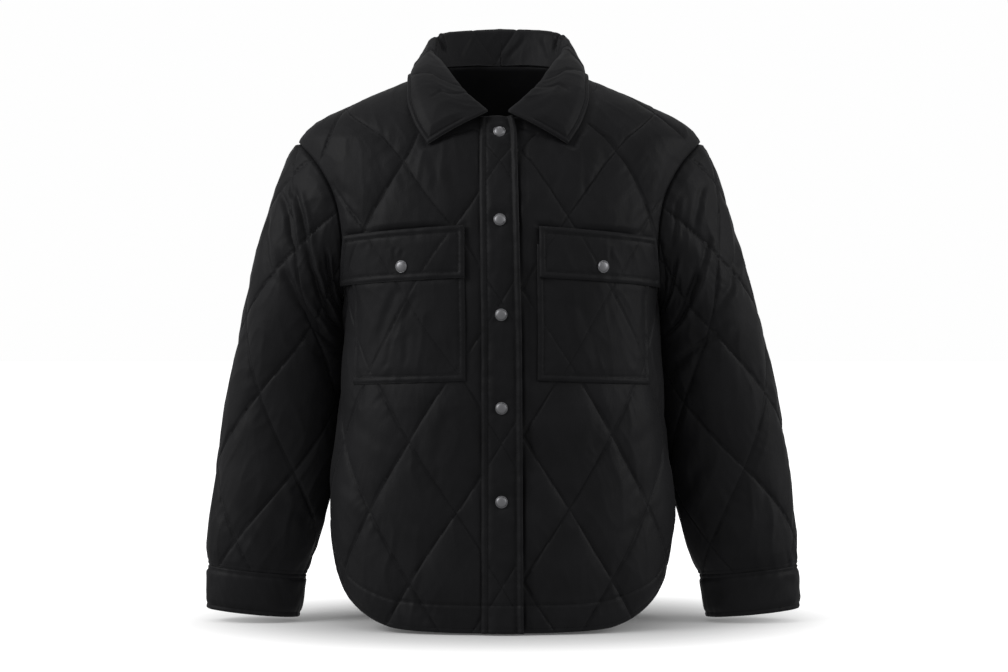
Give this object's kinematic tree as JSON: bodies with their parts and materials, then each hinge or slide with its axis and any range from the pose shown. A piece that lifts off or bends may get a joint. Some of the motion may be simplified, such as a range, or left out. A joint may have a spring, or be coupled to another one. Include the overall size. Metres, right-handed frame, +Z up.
{
  "type": "quilted jacket",
  "caption": "Quilted jacket, snap front, with shirt collar, flap pockets and curved hem, filled out as when worn with the hollow inside open.",
  "frame": {"origin": "midway between the two high shoulder points, where the wearer's shoulders carry the jacket", "axes": "+Z up, -Y out of the jacket's front, +X to the wearer's left"},
  "size_m": [0.7552, 0.2841, 0.7571],
  "materials": {
    "shell_fabric": "near-black woven nylon over wadding, soft sheen",
    "snap_metal": "gunmetal, satin"
  },
  "bodies": {
    "root": {"front_right": "shell_fabric", "front_left": "shell_fabric", "back": "shell_fabric", "sleeve_right": "shell_fabric", "sleeve_left": "shell_fabric", "cuff_right": "shell_fabric", "cuff_left": "shell_fabric", "collar": "shell_fabric", "front_placket": "shell_fabric", "pocket_right": "shell_fabric", "pocket_left": "shell_fabric", "pocket_flap_right": "shell_fabric", "pocket_flap_left": "shell_fabric", "snap_1": "snap_metal", "snap_2": "snap_metal", "snap_3": "snap_metal", "snap_4": "snap_metal", "snap_5": "snap_metal", "pocket_snap_right": "snap_metal", "pocket_snap_left": "snap_metal"}
  },
  "joints": []
}
